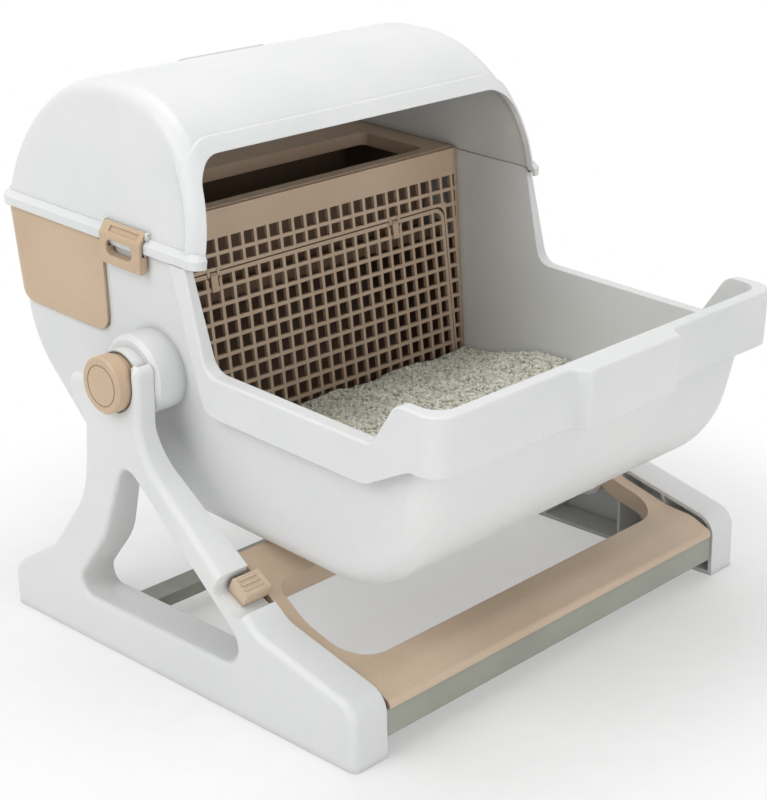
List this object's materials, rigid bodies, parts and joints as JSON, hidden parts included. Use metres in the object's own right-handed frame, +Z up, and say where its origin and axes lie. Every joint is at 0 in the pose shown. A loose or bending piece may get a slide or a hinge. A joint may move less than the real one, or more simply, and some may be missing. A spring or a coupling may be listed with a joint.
{
  "type": "litter box",
  "caption": "Tilting litter box: a hooded tray hung in a footed stand, with a sieve wall and flap, a latched hood and a side drawer for waste.",
  "frame": {"origin": "on the floor, below the middle of the box's overall length and width", "axes": "+X to the right seen from the front, +Y to the rear, +Z up"},
  "size_m": [0.564, 0.5831, 0.5155],
  "materials": {
    "white_shell": "satin moulded polypropylene",
    "tan_plastic": "satin moulded polypropylene",
    "grey_plastic": "satin moulded polypropylene",
    "hinge_wire": "drawn wire"
  },
  "bodies": {
    "stand": {"leg_left": "white_shell", "leg_right": "white_shell", "step_frame": "tan_plastic", "cross_bar_front": "grey_plastic", "cross_bar_rear": "grey_plastic"},
    "pivots": {"pivot_pin_left": "tan_plastic", "pivot_pin_right": "tan_plastic"},
    "tub": {"tub_shell": "white_shell", "sieve_panel": "tan_plastic", "sieve_collar": "tan_plastic", "drawer_shelf": "tan_plastic", "well_liner": "tan_plastic", "flap_pin_left": "tan_plastic", "flap_pin_right": "tan_plastic"},
    "flap": {"sieve_flap": "tan_plastic"},
    "drawer": {"waste_drawer_box": "tan_plastic", "waste_drawer_face": "tan_plastic"},
    "hood": {"hood_shell": "white_shell", "clip_pin_left": "hinge_wire", "clip_pin_right": "hinge_wire"},
    "latch_left": {"clip_left": "tan_plastic"},
    "latch_right": {"clip_right": "tan_plastic"}
  },
  "joints": [
    {"name": "tub_lift", "type": "slide", "parent": "stand", "child": "pivots", "axis": [0, 0, 1], "range_m": [0, 0.12]},
    {"name": "tub_tilt", "type": "hinge", "parent": "pivots", "child": "tub", "pos_m": [0, 0.072, 0.272], "axis": [-1, 0, 0], "range_deg": [0, 100]},
    {"name": "flap_swing", "type": "hinge", "parent": "tub", "child": "flap", "pos_m": [0, 0.1077, 0.3283], "axis": [-1, 0, 0], "range_deg": [0, 60]},
    {"name": "drawer_slide", "type": "slide", "parent": "tub", "child": "drawer", "axis": [1, 0, 0], "range_m": [-0.34, 0]},
    {"name": "hood_lift", "type": "slide", "parent": "tub", "child": "hood", "axis": [0, -0.0523, 0.9986], "range_m": [0, 0.15]},
    {"name": "latch_left_swing", "type": "hinge", "parent": "hood", "child": "latch_left", "pos_m": [-0.22426, 0.0945, 0.3966], "axis": [0, 0.9986, 0.0523], "range_deg": [0, 100]},
    {"name": "latch_right_swing", "type": "hinge", "parent": "hood", "child": "latch_right", "pos_m": [0.22426, 0.0945, 0.3966], "axis": [0, -0.9986, -0.0523], "range_deg": [0, 100]}
  ]
}
